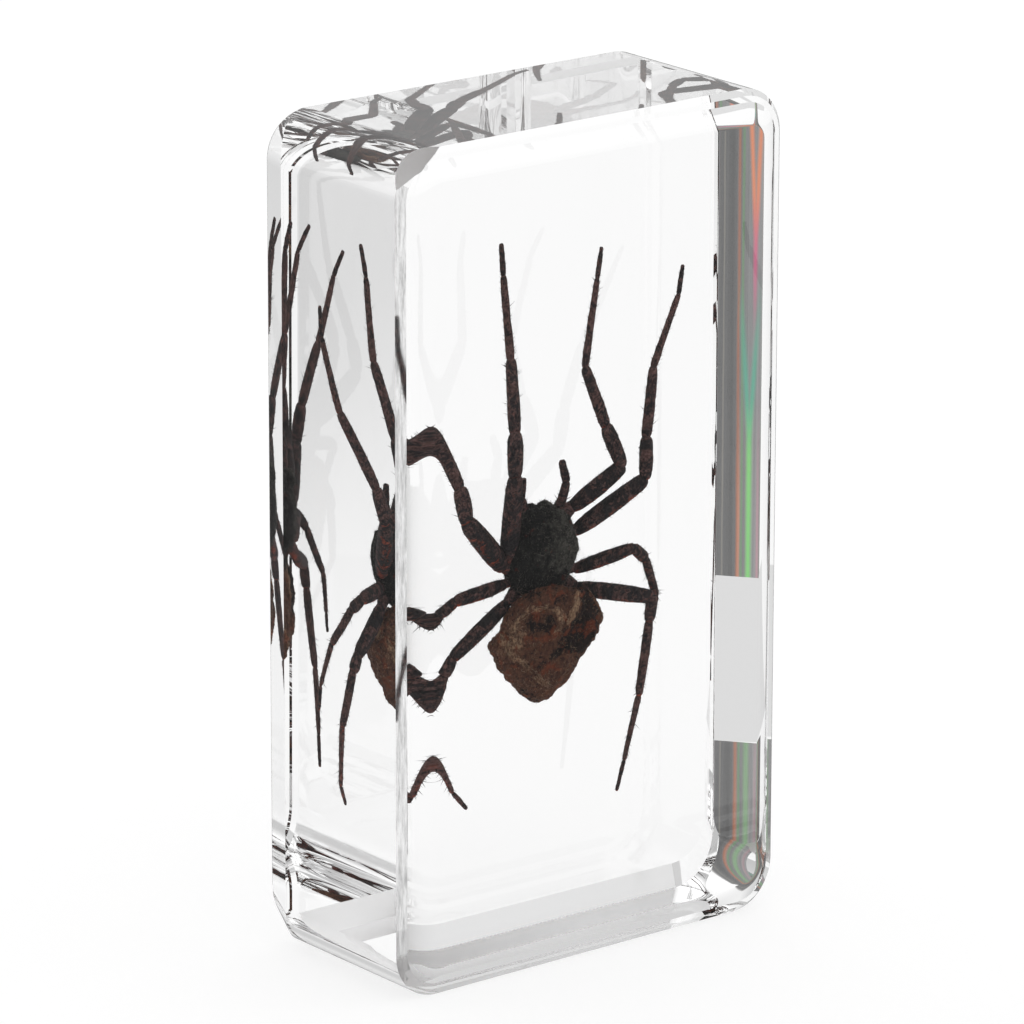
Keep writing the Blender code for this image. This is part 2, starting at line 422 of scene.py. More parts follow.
abdomenStrokes = (  # places across and up, half width, height, tint: 0 dark, 0.5 brown, 1 tan; the dark tint on hollows is partly the abdomen's own markings and partly painted shade
    (((-5.4, 29.1), (-4.7, 29.8), (-3.9, 30.4), (-2.4, 30.5), (-1.2, 30.0), (-0.7, 29.2), (-1.0, 28.5),
      (-1.7, 27.7)), 0.25, 0.34, 0.88),
    (((-3.6, 29.2), (-2.8, 29.6), (-2.3, 29.1)), 0.80, -0.45, 0.26),
    (((-5.6, 28.4), (-5.0, 27.6), (-4.6, 28.7), (-5.4, 29.0)), 0.42, 0.22, 0.82),
    (((-6.1, 28.4), (-5.6, 27.0), (-4.4, 25.9), (-3.1, 24.7), (-1.9, 23.5)), 0.20, 0.36, 0.88),
    (((-6.6, 27.4), (-5.6, 26.2), (-4.7, 24.9), (-3.4, 24.3)), 0.62, 0.25, 0.57),
    (((0.95, 30.9), (0.6, 30.0), (0.05, 28.8)), 0.26, 0.20, 1.0),
    (((1.9, 31.6), (2.1, 30.2), (1.9, 29.2), (1.3, 28.4)), 0.55, -0.62, 0.0),
    (((2.2, 28.4), (1.2, 28.1), (0.2, 27.5), (1.0, 26.6), (2.2, 26.9)), 0.80, -0.45, 0.0),
    (((2.6, 31.3), (3.6, 30.3), (4.5, 28.8), (4.4, 27.3), (3.3, 25.8), (2.5, 24.6)), 0.42, 0.38, 0.80),
    (((-0.6, 25.2), (-0.1, 25.6), (0.1, 24.8)), 0.42, 0.22, 0.56),
    (((-2.4, 27.2), (-1.7, 27.6), (-1.9, 26.8)), 0.50, -0.12, 0.50),
    (((-1.9, 22.6), (-1.4, 22.0), (-0.7, 22.5)), 0.44, 0.20, 0.60),
    (((1.6, 24.4), (0.4, 22.9), (-1.0, 21.7)), 0.30, 0.22, 0.52),
    (((-3.6, 22.9), (-2.5, 22.0)), 0.35, 0.15, 0.28),
    (((-3.4, 31.6), (-1.0, 31.6), (0.2, 31.4)), 0.50, 0.05, 0.34),
    (((-0.3, 27.0), (-0.9, 26.0), (-2.4, 25.6)), 0.40, -0.20, 0.26),
)

legs = {
    "joints": {  # hip, femur base, femur end, patella end, tibia end, metatarsus end, tip
        "left1": ((-2.8, 1.6, 35.6), (-4.9, 1.4, 34.4), (-5.4, -1.9, 42.4), (-4.8, -0.4, 45.9),
                  (-3.8, 3.2, 51.8), (-4.3, 3.9, 59.0), (-4.2, 4.7, 61.6)),
        "left2": ((-2.8, 1.7, 34.6), (-5.4, 1.3, 34.2), (-10.6, -2.2, 39.5), (-10.9, -1.2, 42.3),
                  (-12.5, 3.0, 48.1), (-13.5, 4.9, 54.3), (-13.5, 5.1, 56.9)),
        "left3": ((-2.8, 1.8, 33.6), (-5.0, 1.6, 32.6), (-10.5, 1.1, 32.2), (-11.6, 1.9, 31.2),
                  (-13.0, 3.9, 27.8), (-13.5, 5.2, 23.8), (-13.5, 5.4, 21.7)),
        "left4": ((-2.6, 1.8, 32.8), (-4.8, 1.6, 30.9), (-10.6, 1.6, 27.2), (-11.3, 1.9, 25.8),
                  (-13.0, 2.5, 20.8), (-9.4, 4.7, 14.6), (-7.8, 4.9, 12.8)),
        "right1": ((-0.6, 1.4, 36.9), (1.9, 1.0, 38.2), (6.0, -2.1, 41.4), (4.4, -1.6, 45.1),
                   (2.7, -0.2, 50.4), (4.4, 0.8, 57.7), (5.3, 1.9, 60.1)),
        "right2": ((-0.6, 1.6, 35.8), (2.3, 1.2, 36.0), (8.6, -1.9, 39.8), (8.9, -1.3, 43.3),
                   (10.3, 0.3, 49.1), (13.2, 0.8, 54.9), (14.0, 1.7, 57.2)),
        "right3": ((-0.8, 1.7, 34.2), (2.3, 1.4, 32.6), (7.6, -1.3, 33.8), (9.1, -0.8, 32.5),
                   (10.9, 0.6, 28.6), (10.2, 1.4, 25.2), (10.0, 1.7, 23.6)),
        "right4": ((-0.8, 1.8, 33.2), (2.5, 1.5, 30.9), (9.6, -1.4, 29.1), (9.5, -1.0, 27.0),
                   (9.0, 0.5, 20.1), (7.9, 1.6, 14.4), (7.3, 2.1, 11.7)),
    },
    "radii": (0.82, 0.84, 0.74, 0.58, 0.40, 0.26),  # each segment's, hip to tip
    "stoutness": {
        "left1": 1.12, "left2": 1.1, "left3": 0.76, "left4": 0.86,
        "right1": 1.0, "right2": 1.0, "right3": 0.76, "right4": 0.86,
    },
    "redness": {"coxa": 0.55, "femur": 0.25, "patella": 0.35, "tibia": 0.5, "metatarsus": 0.62, "tarsus": 0.3},
    "sides": 10,
    "levels": 2,
    "overlap": 0.25,  # how far a segment reaches into the next, in radii
    "grain": (0.45 * mm, 0.12 * mm),
}

palps = {
    "left": ((-2.8, 1.6, 38.0), (-3.3, 1.8, 39.7), (-3.0, 1.9, 41.4)),
    "right": ((0.4, 1.0, 38.0), (1.1, 0.6, 40.6), (0.5, 0.4, 42.5)),
    "radii": (0.50, 0.42),
}

segmentForms = {  # share of the length, share of the radius, bow in radii
    "coxa": ((0, 0.70, 0), (0.2, 1.05, 0), (0.55, 1.08, 0), (0.85, 0.92, 0), (1, 0.70, 0)),
    "femur": ((0, 0.60, 0), (0.06, 0.86, 0.03), (0.25, 1.08, 0.14), (0.5, 1.12, 0.20), (0.78, 1.04, 0.13),
              (0.94, 0.92, 0.03), (1, 0.66, 0)),
    "patella": ((0, 0.66, 0), (0.12, 0.94, 0.04), (0.5, 1.06, 0.12), (0.86, 1.00, 0.04), (1, 0.70, 0)),
    "tibia": ((0, 0.72, 0), (0.07, 1.02, 0.03), (0.3, 1.06, 0.10), (0.6, 0.98, 0.12), (0.9, 0.96, 0.04),
              (1, 0.66, 0)),
    "metatarsus": ((0, 0.80, 0), (0.05, 1.10, 0), (0.3, 0.98, -0.10), (0.65, 0.84, -0.12), (0.93, 0.88, -0.03),
                   (1, 0.60, 0)),
    "tarsus": ((0, 0.80, 0), (0.1, 1.12, 0), (0.5, 1.02, 0.05), (0.86, 0.92, 0), (0.96, 0.80, 0), (1, 0.50, 0)),
}
segmentKinds = tuple(segmentForms)
palpKinds = ("patella", "tarsus")

bristles = {
    "spineCount": 26,  # long ones on each leg
    "hairCount": 620,
    "palpShare": 0.25,
    "spineLength": (0.45 * mm, 0.85 * mm),
    "hairLength": (0.18 * mm, 0.42 * mm),
    "tarsusShare": 0.5,  # of the length
    "spineLean": (0.4, 0.9),
    "hairLean": (0.7, 1.3),
    "spineRadius": 0.035 * mm,
    "hairRadius": 0.018 * mm,
    "rootShare": 0.9,  # how far out from the middle of the leg they start
}

fuzz = {
    "carapace": 3200,
    "abdomen": 1800,
    "length": (0.14 * mm, 0.38 * mm),
    "lean": 0.8,
    "radius": 0.013 * mm,
    "fibres": 13,  # for each mm of a tan fold
    "fibreTint": 0.8,  # strokes at least this tan have fibres
    "fibreSpread": 0.7,  # in half widths of the stroke
    "fibreLength": (0.35 * mm, 0.95 * mm),
    "fibreLean": 0.45,
    "fibreRise": 0.12,
    "fibreRadius": 0.018 * mm,
}


def ellipsoid(name, centre, size):
    deselectAll()
    bpy.ops.mesh.primitive_ico_sphere_add(
        subdivisions=5, radius=1, location=Vector(centre) * mm + shift, scale=Vector(size) * mm,
        rotation=(0, 0, spiderTurn))
    made = active(name)
    applyPlace(made)
    return made


def join(name, pieces):
    deselectAll()
    for piece in pieces:
        piece.select_set(True)
    bpy.context.view_layer.objects.active = pieces[0]
    bpy.ops.object.join()
    return active(name)


def addRelief(thing, name, size, height):
    pattern = bpy.data.textures.new(name, "CLOUDS")
    pattern.noise_scale = size
    change = thing.modifiers.new(name, "DISPLACE")
    change.texture = pattern
    change.strength = height
    change.mid_level = 0.5
    change.texture_coords = "LOCAL"


def buildCarapace():
    piece = join("spider_carapace", [ellipsoid(name, *form) for name, form in body["forms"].items()])
    piece.data.remesh_voxel_size = body["remesh"]
    bpy.ops.object.voxel_remesh()
    piece.modifiers.new("soften", "SMOOTH").iterations = body["softening"]
    addRelief(piece, "carapace lumps", *body["lumps"])
    addRelief(piece, "carapace grain", *body["grain"])
    applyModifiers(piece)
    bpy.ops.object.shade_smooth()
    return piece


def strokeDistance(places, path):
    closest = numpy.full(len(places), numpy.inf)
    for start, end in zip(path, path[1:]):
        along = numpy.subtract(end, start)
        share = numpy.clip((places - start) @ along / (along @ along), 0, 1)
        closest = numpy.minimum(closest, numpy.linalg.norm(places - start - share[:, None] * along, axis=1))
    return closest


def sculptAbdomen(piece):  # pushes folds and hollows into the front and the back, and notes their tint, with the hollows darkened partly as painted shade
    count = len(piece.data.vertices)
    points, normals = numpy.empty(count * 3), numpy.empty(count * 3)
    piece.data.vertices.foreach_get("co", points)
    piece.data.vertices.foreach_get("normal", normals)
    points, normals = points.reshape(-1, 3), normals.reshape(-1, 3)
    places = points[:, (0, 2)] / mm
    across, up = places.T
    waver = numpy.stack((numpy.sin(up * 5.3 + across * 2.1), numpy.sin(across * 4.7 - up * 3.4)), 1)
    places = places + waver * abdomenForm["wander"]
    facing = abs(normals[:, 1])
    tone, share = abdomenForm["ground"]
    push, shade, total = numpy.zeros(count), numpy.full(count, tone * share), numpy.full(count, share)
    for path, width, height, colour in abdomenStrokes:
        weight = numpy.exp(-(strokeDistance(places, path) / width)**2)
        push, shade, total = push + weight * height, shade + weight * colour, total + weight
    points = points + normals * (push * facing * abdomenForm["strokeRise"])[:, None]
    piece.data.vertices.foreach_set("co", points.ravel())
    shades = numpy.repeat(shade / total, 4)
    shades[3::4] = 1
    tint = piece.data.color_attributes.new("tint", "FLOAT_COLOR", "POINT")
    tint.data.foreach_set("color", shades)


def buildAbdomen():
    form = abdomenForm
    outline, centre, thick = form["outline"], form["centre"], form["halfThickness"]
    across = Vector((math.cos(spiderTurn), math.sin(spiderTurn), 0))
    depth = Vector((-math.sin(spiderTurn), math.cos(spiderTurn), 0))
    deselectAll()
    bpy.ops.mesh.primitive_circle_add(
        vertices=len(outline), radius=mm, fill_type="NGON", location=centre,
        rotation=(math.pi / 2, 0, spiderTurn))
    piece = active("spider_abdomen")
    applyPlace(piece)

    def roundFromRight(vert):
        away = vert.co - centre
        return math.atan2(away.z, away.dot(across)) % math.tau

    def firstFace(face):
        away = face.calc_center_median() - centre
        return len(face.verts) == len(outline) and abs(away.dot(depth)) < 0.3 * mm

    editMesh(piece, "VERT")
    work = bmesh.from_edit_mesh(piece.data)
    for corner, (angle, reach) in zip(sorted(work.verts, key=roundFromRight), outline):
        turn = math.radians(angle)
        corner.co = centre + (across * math.cos(turn) + Vector((0, 0, math.sin(turn)))) * reach * mm
    bmesh.update_edit_mesh(piece.data)
    bpy.ops.mesh.select_mode(type="FACE")
    for side in (-1, 1):
        bpy.ops.mesh.select_all(action="SELECT")
        if side > 0:
            pick(piece, "faces", firstFace)
        before, height = 1.0, 0.0
        for share, rise in form["rings"]:
            step, middle = depth * side * (rise - height) * thick, centre + depth * side * rise * thick
            ratio = share / before
            bpy.ops.mesh.extrude_region_move(TRANSFORM_OT_translate={"value": step})
            bpy.ops.transform.resize(value=(ratio, ratio, ratio), center_override=middle)
            before, height = share, rise
    bpy.ops.mesh.select_all(action="SELECT")
    bpy.ops.mesh.normals_make_consistent(inside=False)
    endEdit()
    for vert in piece.data.vertices:
        vert.co -= depth * max(0, vert.co.z - centre.z) * form["lean"]
    soft = piece.modifiers.new("soft", "SUBSURF")
    soft.levels = soft.render_levels = form["levels"]
    applyModifiers(piece)
    sculptAbdomen(piece)
    addRelief(piece, "abdomen folds", *form["folds"])
    addRelief(piece, "abdomen wrinkles", *form["wrinkles"])
    applyModifiers(piece)
    bpy.ops.object.shade_smooth()
    return piece


def buildSegment(kind):  # one unit long along Z, one unit in radius, modelled once and copied
    rows = segmentForms[kind]
    deselectAll()
    bpy.ops.mesh.primitive_circle_add(vertices=legs["sides"], radius=rows[0][1], fill_type="NGON")
    piece = active(kind)
    editMesh(piece)
    bpy.ops.mesh.select_all(action="SELECT")
    for (before, wide, side), (after, nextWide, nextSide) in zip(rows, rows[1:]):
        bpy.ops.mesh.extrude_region_move(TRANSFORM_OT_translate={"value": (nextSide - side, 0, after - before)})
        ratio = nextWide / wide
        bpy.ops.transform.resize(value=(ratio, ratio, 1), center_override=(nextSide, 0, after))
    bpy.ops.mesh.select_all(action="SELECT")
    bpy.ops.mesh.normals_make_consistent(inside=False)
    endEdit()
    soft = piece.modifiers.new("soft", "SUBSURF")
    soft.levels = soft.render_levels = legs["levels"]
    applyModifiers(piece)
    tint = piece.data.color_attributes.new("tint", "FLOAT_COLOR", "POINT")
    for vert in piece.data.vertices:
        tint.data[vert.index].color = (vert.co.z, 0, legs["redness"][kind], 1)
    bpy.ops.object.shade_smooth()
    return piece


def segmentAxes(start, end):
    along = (end - start).normalized()
    across = along.cross(Vector((0, 1, 0))).normalized()
    return along, across, across.cross(along)


def placeSegment(unit, name, start, end, radius):
    start, end, radius = Vector(start) * mm + shift, Vector(end) * mm + shift, radius * mm
    along, across, over = segmentAxes(start, end)
    start, end = start - along * radius * legs["overlap"], end + along * radius * legs["overlap"]
    deselectAll()
    unit.select_set(True)
    bpy.context.view_layer.objects.active = unit
    bpy.ops.object.duplicate(linked=False)
    made = active(name)
    turn = Matrix((over * -1, across * -1, along)).transposed().to_quaternion()
    made.matrix_world = Matrix.LocRotScale(start, turn, (radius, radius, (end - start).length))
    applyPlace(made)
    return made


def buildLegs():
    units = {kind: buildSegment(kind) for kind in segmentKinds}
    made = []
    for name, joints in legs["joints"].items():
        share = legs["stoutness"][name]
        for kind, radius, start, end in zip(segmentKinds, legs["radii"], joints, joints[1:]):
            made.append(placeSegment(units[kind], f"{name} {kind}", start, end, radius * share))
    for side in ("left", "right"):
        for kind, radius, start, end in zip(palpKinds, palps["radii"], palps[side], palps[side][1:]):
            made.append(placeSegment(units[kind], f"palp {side} {kind}", start, end, radius))
    piece = join("spider_legs", made)
    for unit in units.values():
        bpy.data.objects.remove(unit, do_unlink=True)
    addRelief(piece, "leg grain", *legs["grain"])
    applyModifiers(piece)
    bpy.ops.object.shade_smooth()
    count = len(piece.data.vertices)
    tint, normals = numpy.empty(count * 4), numpy.empty(count * 3)
    piece.data.color_attributes["tint"].data.foreach_get("color", tint)
    piece.data.vertices.foreach_get("normal", normals)
    tint[1::4] = numpy.clip(-normals[2::3], 0, 1)  # how far it faces down, which the leg shell turns into a painted reddish underside glow
    piece.data.color_attributes["tint"].data.foreach_set("color", tint)
    return piece


def segmentRadius(kind, share):  # radius and bow at a share of the length
    rows = segmentForms[kind]
    for (before, wide, side), (after, nextWide, nextSide) in zip(rows, rows[1:]):
        if share <= after:
            part = (share - before) / (after - before)
            return wide + (nextWide - wide) * part, side + (nextSide - side) * part
    return rows[-1][1], rows[-1][2]


def bristleAt(root, direction, length, radius, points, faces):  # a slim three-sided spike
    along = direction.normalized()
    across = along.orthogonal().normalized()
    over = along.cross(across)
    a, b, c, tip = range(len(points), len(points) + 4)
    for corner in range(3):
        turn = math.tau * corner / 3
        points.append(root + (across * math.cos(turn) + over * math.sin(turn)) * radius)
    points.append(root + along * length)
    faces += [(a, b, tip), (b, c, tip), (c, a, tip), (c, b, a)]


def pieceFrom(name, points, faces):
    shape = bpy.data.meshes.new(name)
    shape.from_pydata(points, [], faces)
    piece = bpy.data.objects.new(name, shape)
    bpy.context.scene.collection.objects.link(piece)
    return piece


def buildBristles():
    points, faces = [], []
    chains = [(joints, [radius * legs["stoutness"][name] for radius in legs["radii"]], segmentKinds, 1.0)
              for name, joints in legs["joints"].items()]
    chains += [(palps[side], palps["radii"], palpKinds, bristles["palpShare"]) for side in ("left", "right")]
    for joints, radii, names, amount in chains:
        lengths = [(Vector(end) - Vector(start)).length for start, end in zip(joints, joints[1:])]
        for style in ("spine", "hair"):
            for index in range(int(bristles[style + "Count"] * amount)):
                spot = random.choices(range(len(lengths)), lengths)[0]
                if style == "spine" and names[spot] in ("coxa", "femur", "tarsus"):
                    continue
                start, end = Vector(joints[spot]) * mm + shift, Vector(joints[spot + 1]) * mm + shift
                along, across, over = segmentAxes(start, end)
                share, turn = random.random(), random.uniform(0, math.tau)
                wide, bow = segmentRadius(names[spot], share)
                out = over * -math.cos(turn) - across * math.sin(turn)
                reach = radii[spot] * mm
                root = start.lerp(end, share) + out * wide * reach * bristles["rootShare"] - over * bow * reach
                lean = random.uniform(*bristles[style + "Lean"])
                length = random.uniform(*bristles[style + "Length"])
                if names[spot] == "tarsus":
                    length *= bristles["tarsusShare"]
                bristleAt(root, out + along * lean, length, bristles[style + "Radius"], points, faces)
    return pieceFrom("spider_bristles", points, faces)


def randomLean(most):
    return Vector([random.uniform(-most, most) for axis in range(3)])


def buildFuzz(carapace, abdomen):
    points, faces = [], []
    for piece, count in ((carapace, fuzz["carapace"]), (abdomen, fuzz["abdomen"])):
        for face in random.choices(piece.data.polygons, k=count):
            heading = face.normal + randomLean(fuzz["lean"])
            bristleAt(face.center, heading, random.uniform(*fuzz["length"]), fuzz["radius"], points, faces)
    for path, width, height, colour in abdomenStrokes:
        if colour < fuzz["fibreTint"]:
            continue
        spread = width * fuzz["fibreSpread"]
        for start, end in zip(path, path[1:]):
            run = Vector((end[0] - start[0], 0, end[1] - start[1]))
            for index in range(int(run.length * fuzz["fibres"])):
                spot = Vector((start[0], 0, start[1])) + run * random.random()
                spot += Vector((random.gauss(0, spread), 0, random.gauss(0, spread)))
                ahead = Vector((spot.x * mm, low.y, spot.z * mm))
                hit, root, normal, face = abdomen.ray_cast(ahead, Vector((0, 1, 0)))
                if hit:
                    lean = randomLean(fuzz["fibreLean"])
                    heading = run.normalized() * random.choice((-1, 1)) + lean + normal * fuzz["fibreRise"]
                    length = random.uniform(*fuzz["fibreLength"])
                    bristleAt(root, heading, length, fuzz["fibreRadius"], points, faces)
    return pieceFrom("spider_fuzz", points, faces)


tones = {  # darkest and lightest of each
    "leg black": ((0.007, 0.0065, 0.007, 1), (0.048, 0.042, 0.044, 1)),
    "leg purple": ((0.045, 0.020, 0.020, 1), (0.24, 0.135, 0.12, 1)),
    "leg rust": ((0.15, 0.018, 0.009, 1), (0.50, 0.10, 0.045, 1)),
    "carapace black": ((0.003, 0.003, 0.003, 1), (0.018, 0.018, 0.017, 1)),
    "carapace grey": ((0.010, 0.009, 0.008, 1), (0.12, 0.115, 0.10, 1)),
    "abdomen black": ((0.004, 0.003, 0.003, 1), (0.032, 0.016, 0.013, 1)),
    "abdomen brown": ((0.036, 0.014, 0.010, 1), (0.165, 0.074, 0.044, 1)),
    "abdomen tan": ((0.11, 0.055, 0.030, 1), (0.62, 0.40, 0.25, 1)),
    "bristle": ((0.008, 0.006, 0.005, 1), (0.05, 0.03, 0.022, 1)),
    "abdomen fuzz": ((0.12, 0.07, 0.04, 1), (0.60, 0.44, 0.29, 1)),
    "carapace fuzz": ((0.03, 0.028, 0.026, 1), (0.28, 0.26, 0.23, 1)),
}
redSpots = {"carapace": (0.10, 0.016, 0.009, 1), "abdomen": (0.25, 0.055, 0.020, 1)}
shellRelief = 0.06 * mm


def dryShell(principled, shader, colour, bump, roughness=0.62):
    shader.feed(principled.inputs["Base Color"], colour)
    principled.inputs["Roughness"].default_value = roughness
    principled.inputs["Specular IOR Level"].default_value = 0.12
    relief = shader.node("ShaderNodeBump", None, {"Strength": 0.8, "Distance": shellRelief, "Height": bump})
    shader.feed(principled.inputs["Normal"], relief.out("Normal"))


def legShell():
    made, shader, principled, place = newMaterial("leg shell")
    tint = shader.node("ShaderNodeAttribute", {"attribute_name": "tint"}).out("Color")
    parts = shader.node("ShaderNodeSeparateColor", None, {0: tint})
    along, down, red = parts.out(0), parts.out(1), parts.out(2)
    patches = shader.noise(place, scale=1150, detail=5, roughness=0.66, distortion=0.6)
    fine = shader.noise(place, scale=4200, detail=5, roughness=0.75)
    limb = red * 9 + shader.noise(place, scale=90, detail=1) * 4
    runs = shader.node("ShaderNodeCombineXYZ", None, {0: along * 2.2, 1: patches * 1.3, 2: limb}).out(0)
    runs = shader.noise(runs, scale=2.2, detail=4, roughness=0.6, distortion=0.5)  # drawn out along each segment
    joint = (along - 0.5).math("ABSOLUTE").between(0.40, 0.5)
    dark, purple, rust = (shader.mix(fine, *tones["leg " + name]) for name in ("black", "purple", "rust"))
    colour = shader.mix((runs * 0.9 + red * 0.7).between(0.50, 1.05), dark, purple)
    # the rust mix is partly the legs' own rust-red patches, joints and redder segments, and partly a painted
    # reddish glow on the down-facing undersides
    rustAndUndersideGlow = patches * 0.45 + runs * 0.25 + down * 0.45 + joint * 0.12 + red * 0.18
    colour = shader.mix(rustAndUndersideGlow.between(0.68, 1.0) * 0.9, colour, rust)
    dryShell(principled, shader, colour, fine + patches)
    return made


def carapaceShell():
    made, shader, principled, place = newMaterial("carapace shell")
    broad = shader.noise(place, scale=520, detail=5, roughness=0.65, distortion=0.6)
    fine = shader.noise(place, scale=3400, detail=5, roughness=0.75)
    spots = shader.noise(place, scale=900, detail=3, roughness=0.5)
    across, _, up = shader.axes(place)
    rightward = across.between(-3.6 * mm, 0.4 * mm)
    lower = 1 - up.between(31.5 * mm, 34.5 * mm)
    black, pale = (shader.mix(fine, *tones["carapace " + name]) for name in ("black", "grey"))
    colour = shader.mix((broad * 0.8 + rightward * 0.45 - lower * 0.35).between(0.45, 1.05), black, pale)
    colour = shader.mix(spots.between(0.86, 1.0) * 0.5, colour, redSpots["carapace"])
    dryShell(principled, shader, colour, fine + broad, roughness=0.75)
    return made


def abdomenShell():
    made, shader, principled, place = newMaterial("abdomen shell")
    tint = shader.node("ShaderNodeAttribute", {"attribute_name": "tint"}).out("Color")
    tone = shader.node("ShaderNodeSeparateColor", None, {0: tint}).out(0)
    broad = shader.noise(place, scale=640, detail=5, roughness=0.62, distortion=0.7)
    fine = shader.noise(place, scale=3000, detail=6, roughness=0.75)
    threads = shader.stretched(place, (1.0, 1.0, 0.22))
    threads = shader.noise(threads, scale=7500, detail=3, roughness=0.6, distortion=0.8)
    spots = shader.noise(place, scale=780, detail=4, roughness=0.6, distortion=0.3)
    mixed = tone * 0.92 + (broad - 0.5) * 0.28 + (fine - 0.5) * 0.26 + 0.04
    black, brown = (shader.mix(fine, *tones["abdomen " + name]) for name in ("black", "brown"))
    # black where the tint is low: the abdomen's own dark markings, and painted shade in the pushed-in hollows
    colour = shader.mix(mixed.between(0.20, 0.42), black, brown)
    colour = shader.mix(mixed.between(0.58, 0.98), colour, shader.mix(threads, *tones["abdomen tan"]))
    colour = shader.mix(spots.between(0.66, 1.0) * 0.55, colour, redSpots["abdomen"])
    dryShell(principled, shader, colour, fine + threads * 0.5 + broad, roughness=0.6)
    return made


def bristleShell():
    made, shader, principled, place = newMaterial("bristle")
    colour = shader.mix(shader.noise(place, scale=2500), *tones["bristle"])
    dryShell(principled, shader, colour, shader.noise(place, scale=9000), roughness=0.5)
    return made


def fuzzShell():
    made, shader, principled, place = newMaterial("fuzz")
    up = shader.axes(place)[2]
    patches = shader.noise(place, scale=1800)
    tan, pale = (shader.mix(patches, *tones[name + " fuzz"]) for name in ("abdomen", "carapace"))
    colour = shader.mix(up.between(31 * mm, 32.5 * mm), tan, pale)
    dryShell(principled, shader, colour, shader.noise(place, scale=9000), roughness=0.6)
    return made


# studio

studio = {
    "floorSize": 6,  # m
    "floorDrop": 0.05 * mm,
    "floorTone": (0.12, 0.22),  # in front, behind
    "floorGlow": (0.58, 0.76),
    "floorShade": (-0.17, -0.03),  # m along Y between them
    "farGlow": 0.50,
    "farFloor": (0.40, 0.75),  # m from the block
    "cardGlow": 0.66,
    "sky": (0.16, 0.70, 0.74, 1.35),  # below the horizon, low, higher, overhead
    "keyLight": 1.05,
    "leftDim": 0.55,
    "backdrop": 1.05,
}

# seen only through the resin: middle, turn about Z, width and length in mm, share of the streaks or 0 when flat
cards = {
    "leftTall": ((-22.25, 57.38, 34.4), 50.85, 4.6, 53.6, 0.691),
    "leftLow": ((14.67, 13.35, 5.4), 50.85, 4.2, 9.6, 0.135),
    "leftFar": ((-26.9, 52.0, 0.01), 44, 60, 52.4, 0),
}

streakBands = (  # place from the card's right edge, half width, strength, colour
    (0.36, 0.12, 0.6, (0.09, 0.09, 0.09, 1)),
    (0.19, 0.03, 0.5, (0.34, 0.32, 0.28, 1)),
    (0.50, 0.05, 0.7, (0.42, 0.15, 0.08, 1)),
    (0.585, 0.045, 0.5, (0.16, 0.36, 0.15, 1)),
)
footBands = (  # only low on the card
    (0.53, 0.05, 0.7, (0.62, 0.26, 0.15, 1)),
    (0.93, 0.05, 0.6, (0.62, 0.33, 0.38, 1)),
)
wedges = {  # colours low and high; from and to their change; the height they part from and how fast
    "pink": ((0.60, 0.16, 0.27, 1), (0.72, 0.26, 0.14, 1), (0.40, 0.50), (0.43, 0.72)),
    "green": ((0.22, 0.66, 0.18, 1), (0.10, 0.40, 0.28, 1), (0.14, 0.24), (0.18, 1.1)),
}


def streaks(shader, place, tall):  # the resin's stress colours, as bands across a standing card
    side, height, _ = shader.axes(place)
    wavy = shader.noise(shader.stretched(place, (6, 9 * tall, 1)), scale=1)
    grain = shader.noise(shader.stretched(place, (26, 1.2, 1)), scale=1, detail=3)
    across = 0.5 - side + (wavy - 0.5) * 0.012
    up = (height + 0.5) * tall

    def band(middle, half, spread=0.0):
        away = ((across - middle).math("ABSOLUTE") - spread).math("ABSOLUTE")
        return 1 - away.between(0.0, half)

    def wedge(name, middle, half, strength, below):
        first, last, change, (start, rate) = wedges[name]
        spread = ((up - start) * rate).math("MAXIMUM", 0.0)
        tinted = shader.mix(up.between(*change), first, last)
        return shader.mix(band(middle, half, spread) * strength, below, tinted)

    colour = shader.mix(across.between(0.25, 1.0), grey(0.15), grey(0.33))
    colour = shader.mix(grain * 0.4, colour, (0.075, 0.075, 0.08, 1))
    colour = shader.mix(1 - across.between(0.02, 0.09), colour, (0.48, 0.47, 0.46, 1))
    for middle, half, strength, paint in streakBands:
        colour = shader.mix(band(middle, half) * strength, colour, paint)
    foot = (1 - up.between(0.05, 0.26)) * min(1, 0.4 + tall)
    for middle, half, strength, paint in footBands:
        colour = shader.mix(band(middle, half) * foot * strength, colour, paint)
    colour = wedge("pink", 0.84, 0.075, up.between(0.29, 0.42), colour)
    fading = (1 - up.between(0.24, 0.40)) * min(0.9, 0.2 + tall)
    return wedge("green", 0.74, 0.095, fading, colour)


def buildFloor():
    deselectAll()
    bpy.ops.mesh.primitive_plane_add(size=studio["floorSize"], location=(0, 0, low.z - studio["floorDrop"]))
    floor = active("floor")
    paint, shader, principled, place = newMaterial("pale floor")
    seen = shader.node("ShaderNodeLightPath").out("Is Camera Ray")
    behind = shader.axes(place)[1].between(*studio["floorShade"])
    far = shader.node("ShaderNodeVectorMath", {"operation": "LENGTH"}, {0: place}).out("Value")
    far = far.between(*studio["farFloor"])
    tone, glow = (shader.mix(behind, *map(grey, studio[name])) for name in ("floorTone", "floorGlow"))
    glow = shader.mix(far * (1 - seen), glow, grey(studio["farGlow"]))
    shader.feed(principled.inputs["Base Color"], tone)
    shader.feed(principled.inputs["Emission Color"], glow)
    principled.inputs["Emission Strength"].default_value = 1
    principled.inputs["Roughness"].default_value = 0.9
    floor.data.materials.append(paint)
    floor.visible_glossy = False


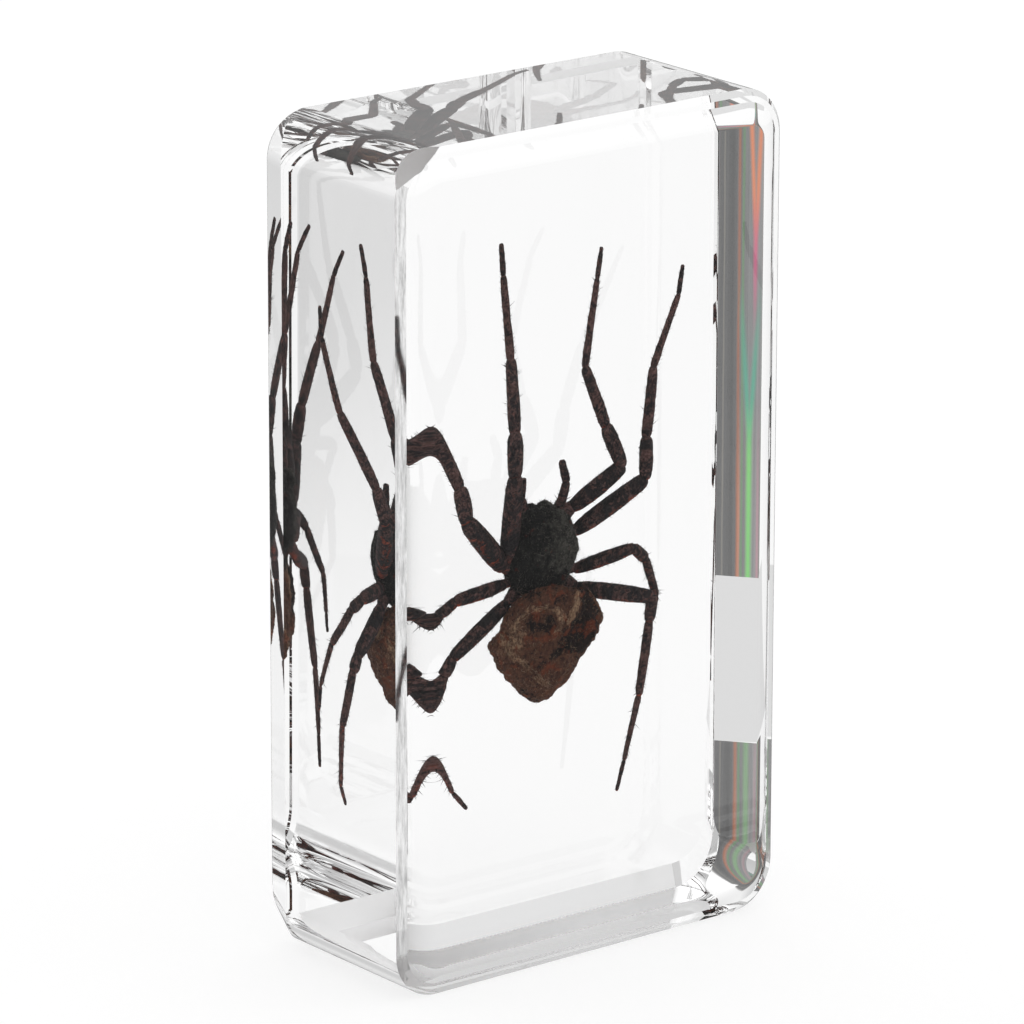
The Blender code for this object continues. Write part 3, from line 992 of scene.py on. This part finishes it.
def buildCard(name, spot, turn, width, long, tall):
    deselectAll()
    bpy.ops.mesh.primitive_plane_add(
        size=1, location=Vector(spot) * mm, rotation=(math.pi / 2 if tall else 0, 0, math.radians(turn)))
    card = active("card_" + name)
    card.scale = (width * mm, long * mm, 1)
    paint, shader, principled, place = newMaterial("card " + name)
    principled.inputs["Base Color"].default_value = grey(0)
    shader.feed(
        principled.inputs["Emission Color"], streaks(shader, place, tall) if tall else grey(studio["cardGlow"]))
    edgeOn = shader.node("ShaderNodeLayerWeight", None, {"Blend": 0.5}).out("Facing").between(0.70, 0.90)
    shader.feed(principled.inputs["Alpha"], 1 - edgeOn)
    principled.inputs["Emission Strength"].default_value = 1
    card.data.materials.append(paint)
    card.visible_camera = card.visible_diffuse = card.visible_glossy = card.visible_shadow = False


def buildSky():
    world = bpy.data.worlds.new("studio")
    bpy.context.scene.world = world
    shader = Shader(world)
    across, deep, rise = shader.axes(shader.node("ShaderNodeTexCoord").out("Generated"))
    below, lowest, higher, overhead = map(grey, studio["sky"])
    keySide = (across * 0.67 - deep * 0.74).between(0.30, 0.75) * rise.between(0.12, 0.30)
    leftSide = (across * -0.985 - deep * 0.174).between(0.35, 0.65)
    sky = shader.mix(rise.between(0.02, 0.25), lowest, higher)
    sky = shader.mix(keySide, sky, grey(studio["keyLight"]))
    sky = shader.mix(rise.between(0.25, 1.0), sky, overhead)
    sky = shader.mix(leftSide, sky, grey(studio["leftDim"]))
    sky = shader.mix(rise.between(-0.06, 0.0), below, sky)
    seen = shader.node("ShaderNodeLightPath").out("Is Camera Ray")
    background = world.node_tree.nodes["Background"]
    shader.feed(background.inputs["Color"], shader.mix(seen, sky, grey(studio["backdrop"])))


def setBounces():
    bpy.context.scene.view_settings.view_transform = "Standard"
    bpy.context.scene.cycles.max_bounces = 24
    bpy.context.scene.cycles.glossy_bounces = 16
    bpy.context.scene.cycles.transmission_bounces = 24


setCamera()
buildFloor()
for name, card in cards.items():
    buildCard(name, *card)
buildSky()
setBounces()
print("camera and studio set,", len(cards), "cards")

resin = buildBlock()
for finish in block["finishes"]:
    resin.data.materials.append(clearResin(*finish))
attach(resin, "root")
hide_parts("resin_front_half", "resin_back_half")
print("block cast,", len(resin.data.polygons), "faces")

carapace, abdomen = buildCarapace(), buildAbdomen()
spider = (
    (carapace, carapaceShell()), (abdomen, abdomenShell()), (buildFuzz(carapace, abdomen), fuzzShell()),
    (buildLegs(), legShell()), (buildBristles(), bristleShell()),
)
for piece, shell in spider:
    piece.data.materials.clear()
    piece.data.materials.append(shell)
    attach(piece, "root")
    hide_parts("spider")
    print(piece.name, sum(len(face.vertices) - 2 for face in piece.data.polygons), "triangles")
